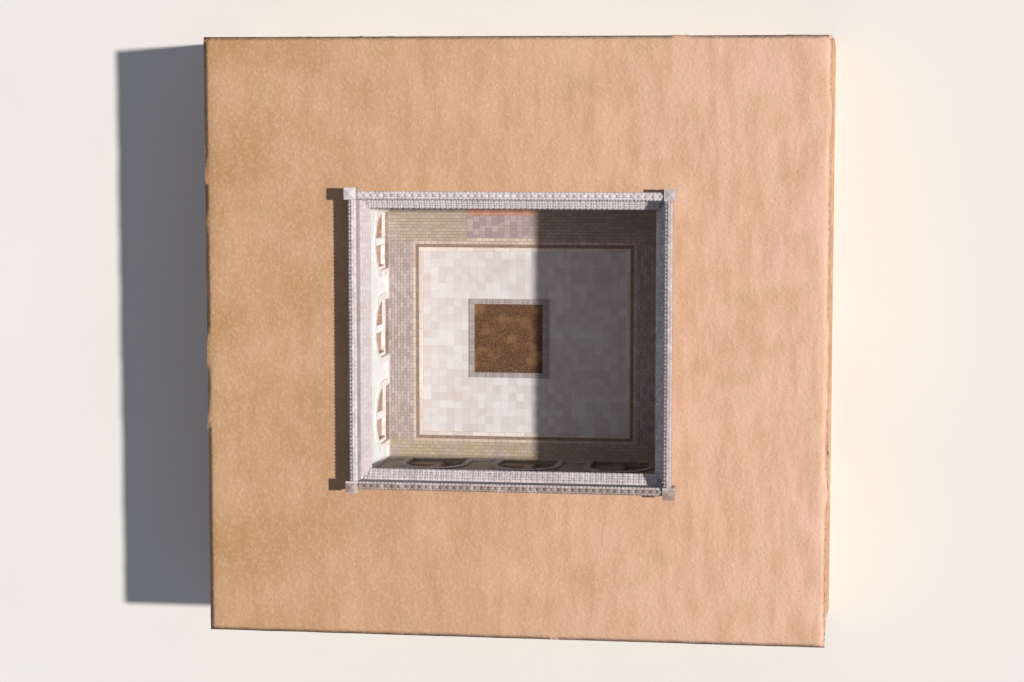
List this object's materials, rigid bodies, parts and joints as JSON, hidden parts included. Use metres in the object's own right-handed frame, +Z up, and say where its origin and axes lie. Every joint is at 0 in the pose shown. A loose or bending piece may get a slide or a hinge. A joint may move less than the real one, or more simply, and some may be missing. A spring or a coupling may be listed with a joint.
{
  "type": "sunken courtyard dwelling",
  "caption": "Square courtyard dug into loess, with a walled and tiled rim and vaulted cave rooms behind brick arches on all four sides.",
  "frame": {"origin": "centre of the underside of the earth block", "axes": "+X east along the longer side, +Y north, +Z up"},
  "size_m": [23.4, 22.52, 7.03],
  "materials": {
    "loess": "rough cut earth",
    "paving": "worn grey brick",
    "kerb": "dressed sandy stone",
    "brick": "grey brick in lime mortar",
    "tile": "weathered unglazed clay tile",
    "plaster": "clay and straw plaster",
    "timber": "bare plank bleached by the sun"
  },
  "bodies": {
    "dwelling": {"arch_trim_east": "brick", "arch_trim_north": "brick", "arch_trim_south": "brick", "arch_trim_west": "brick", "base": "loess", "coping_east": "tile", "coping_north": "tile", "coping_south": "tile", "coping_west": "tile", "court_kerb": "kerb", "eave_east": "tile", "eave_north": "tile", "eave_south": "tile", "eave_west": "tile", "front_east_1": "plaster", "front_east_2": "plaster", "front_north_1": "plaster", "front_north_2": "plaster", "front_north_3": "plaster", "front_south_1": "plaster", "front_south_2": "plaster", "front_south_3": "plaster", "front_west_1": "plaster", "front_west_2": "plaster", "front_west_3": "plaster", "parapet_east": "brick", "parapet_north": "brick", "parapet_south": "brick", "parapet_west": "brick", "passage_wall": "loess", "pier_northeast": "brick", "pier_northwest": "brick", "pier_southeast": "brick", "pier_southwest": "brick", "terrace": "paving", "vault_east": "loess", "vault_north": "loess", "vault_south": "loess", "vault_west": "loess", "walls_east": "loess", "walls_north": "loess", "walls_south": "loess", "walls_west": "loess"},
    "north_door_1": {"door_north_1": "timber"},
    "north_door_2": {"door_north_2": "timber"},
    "north_door_3": {"door_north_3": "timber"},
    "west_door_1": {"door_west_1": "timber"},
    "west_door_2": {"door_west_2": "timber"},
    "west_door_3": {"door_west_3": "timber"},
    "south_door_1": {"door_south_1": "timber"},
    "south_door_2": {"door_south_2": "timber"},
    "south_door_3": {"door_south_3": "timber"},
    "east_door_1": {"door_east_1": "timber"},
    "east_door_2": {"door_east_2": "timber"}
  },
  "joints": [
    {"name": "north_door_1_hinge", "type": "hinge", "parent": "dwelling", "child": "north_door_1", "pos_m": [-4.577, 5.55, 1.53], "axis": [0, 0, 1], "range_deg": [0, 90]},
    {"name": "north_door_2_hinge", "type": "hinge", "parent": "dwelling", "child": "north_door_2", "pos_m": [-0.977, 5.55, 1.53], "axis": [0, 0, 1], "range_deg": [0, 90]},
    {"name": "north_door_3_hinge", "type": "hinge", "parent": "dwelling", "child": "north_door_3", "pos_m": [2.623, 5.55, 1.53], "axis": [0, 0, 1], "range_deg": [0, 90]},
    {"name": "west_door_1_hinge", "type": "hinge", "parent": "dwelling", "child": "west_door_1", "pos_m": [-5.99, -4.377, 1.53], "axis": [0, 0, 1], "range_deg": [0, 90]},
    {"name": "west_door_2_hinge", "type": "hinge", "parent": "dwelling", "child": "west_door_2", "pos_m": [-5.99, -0.977, 1.53], "axis": [0, 0, 1], "range_deg": [0, 90]},
    {"name": "west_door_3_hinge", "type": "hinge", "parent": "dwelling", "child": "west_door_3", "pos_m": [-5.99, 2.423, 1.53], "axis": [0, 0, 1], "range_deg": [0, 90]},
    {"name": "south_door_1_hinge", "type": "hinge", "parent": "dwelling", "child": "south_door_1", "pos_m": [4.577, -5.55, 1.53], "axis": [0, 0, 1], "range_deg": [0, 90]},
    {"name": "south_door_2_hinge", "type": "hinge", "parent": "dwelling", "child": "south_door_2", "pos_m": [0.977, -5.55, 1.53], "axis": [0, 0, 1], "range_deg": [0, 90]},
    {"name": "south_door_3_hinge", "type": "hinge", "parent": "dwelling", "child": "south_door_3", "pos_m": [-2.623, -5.55, 1.53], "axis": [0, 0, 1], "range_deg": [0, 90]},
    {"name": "east_door_1_hinge", "type": "hinge", "parent": "dwelling", "child": "east_door_1", "pos_m": [5.99, 4.377, 1.53], "axis": [0, 0, 1], "range_deg": [0, 90]},
    {"name": "east_door_2_hinge", "type": "hinge", "parent": "dwelling", "child": "east_door_2", "pos_m": [5.99, 0.977, 1.53], "axis": [0, 0, 1], "range_deg": [0, 90]}
  ]
}
